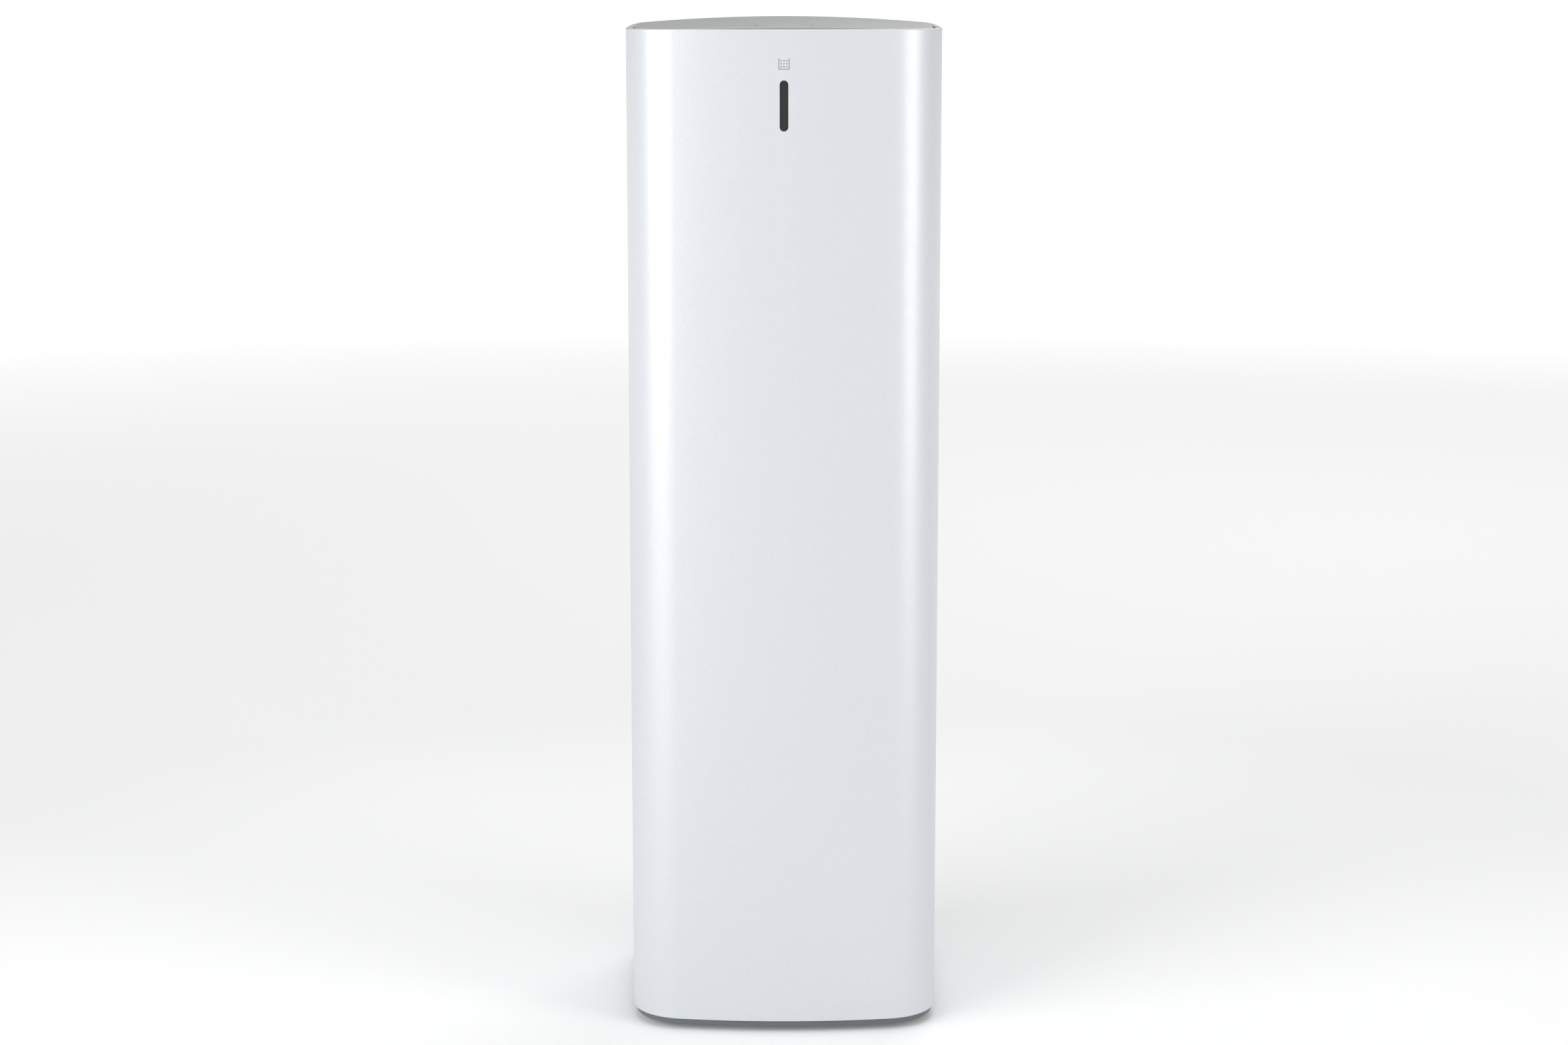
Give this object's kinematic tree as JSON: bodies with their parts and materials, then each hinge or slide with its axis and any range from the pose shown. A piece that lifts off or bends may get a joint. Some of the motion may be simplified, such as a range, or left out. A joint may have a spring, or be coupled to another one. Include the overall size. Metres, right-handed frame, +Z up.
{
  "type": "vacuum bin emptying tower",
  "caption": "Slim rounded-square floor tower that empties a cordless vacuum's dust bin: domed lid over a round cradle, full-height front door, dust bag, suction fan and rear exhaust filter.",
  "frame": {"origin": "on the floor under the middle of the tower, at the bottom of the feet", "axes": "+Z up; the front with the indicator faces -Y; +X is to the right seen from the front"},
  "size_m": [0.2, 0.2, 0.65],
  "materials": {
    "white_shell": "pearl white, fine grain",
    "lid_grey": "satin grey",
    "base_grey": "satin dark grey",
    "lens_dark": "gloss smoked",
    "icon_grey": "printed",
    "lamp_white": "diffuse",
    "board_green": "solder mask",
    "inner_plastic": "fine texture",
    "deck_plastic": "fine texture",
    "rail_plastic": "satin",
    "housing_plastic": "satin",
    "fan_metal": "cast",
    "filter_paper": "pleated paper",
    "rubber_dark": "soft",
    "steel": "satin",
    "stator_steel": "laminated",
    "brass": "turned",
    "magnet": "nickel plated",
    "button_plastic": "satin",
    "switch_black": "satin",
    "component_black": "moulded",
    "card": "pressed board",
    "bag_cloth": "non-woven cloth",
    "foam": "open-cell foam"
  },
  "bodies": {
    "tower": {"bag_chamber": "inner_plastic", "bag_collar": "card", "bag_rails": "rail_plastic", "base_tray": "base_grey", "bin_cradle": "deck_plastic", "bin_solenoid": "switch_black", "board_components": "component_black", "board_posts": "brass", "button_spring": "steel", "catch_strikes": "steel", "cradle_gasket": "rubber_dark", "diffuser": "rail_plastic", "duct_gaskets": "rubber_dark", "dust_bag": "bag_cloth", "exhaust_duct": "housing_plastic", "feet": "rubber_dark", "flap_servo": "switch_black", "frame_screws": "steel", "housing_gasket": "rubber_dark", "inlet_duct": "inner_plastic", "inlet_pins": "brass", "inner_frame": "inner_plastic", "main_board": "board_green", "motor_bearings": "steel", "motor_can": "steel", "motor_housing_lower": "housing_plastic", "motor_housing_upper": "housing_plastic", "motor_mount_rings": "rubber_dark", "motor_stator": "stator_steel", "power_inlet": "switch_black", "premotor_filter_frame": "rail_plastic", "premotor_foam": "foam", "rear_shell": "white_shell", "start_switch": "switch_black", "top_cap": "lid_grey", "top_deck": "deck_plastic"},
    "door": {"door_cover": "white_shell", "indicator_lens": "lens_dark", "icon_inlay": "icon_grey", "display_board": "board_green", "display_leds": "lamp_white", "door_inner_panel": "inner_plastic", "door_seal": "rubber_dark", "door_hinge_pins": "steel", "door_magnets": "magnet"},
    "lid": {"lid_cover": "lid_grey", "lid_hinge_pin": "steel", "lid_liner": "deck_plastic", "lid_seal": "rubber_dark", "lid_magnets": "magnet"},
    "start_button": {"start_button": "button_plastic"},
    "bin_pusher": {"bin_pusher": "steel"},
    "air_flap": {"air_flap": "rail_plastic", "flap_shaft": "steel"},
    "fan_rotor": {"impeller": "fan_metal", "motor_rotor": "magnet", "motor_shaft": "steel"},
    "exhaust_cover": {"exhaust_grille": "white_shell", "exhaust_filter_frame": "rail_plastic", "exhaust_filter_media": "filter_paper"}
  },
  "joints": [
    {"name": "door_hinge", "type": "hinge", "parent": "tower", "child": "door", "pos_m": [-0.09757, -0.05, 0.326], "axis": [0, 0, -1], "range_deg": [0, 95]},
    {"name": "lid_hinge", "type": "hinge", "parent": "tower", "child": "lid", "pos_m": [0, 0.06, 0.6435], "axis": [-1, 0, 0], "range_deg": [0, 78]},
    {"name": "start_button_press", "type": "slide", "parent": "tower", "child": "start_button", "axis": [0, 0, -1], "range_m": [0, 0.002], "stiffness_N_per_m": 300, "springref_m": -0.001, "deforming": ["button_spring"]},
    {"name": "bin_pusher_lift", "type": "slide", "parent": "tower", "child": "bin_pusher", "axis": [0, 0, 1], "range_m": [0, 0.008], "stiffness_N_per_m": 60, "springref_m": -0.002},
    {"name": "air_flap_turn", "type": "hinge", "parent": "tower", "child": "air_flap", "pos_m": [0, -0.01, 0.522], "axis": [1, 0, 0], "range_deg": [0, 80]},
    {"name": "fan_spin", "type": "hinge", "parent": "tower", "child": "fan_rotor", "pos_m": [0, 0.018, 0.1], "axis": [0, 0, 1], "continuous": true},
    {"name": "exhaust_cover_pull", "type": "slide", "parent": "tower", "child": "exhaust_cover", "axis": [0, 1, 0], "range_m": [0, 0.03]}
  ]
}
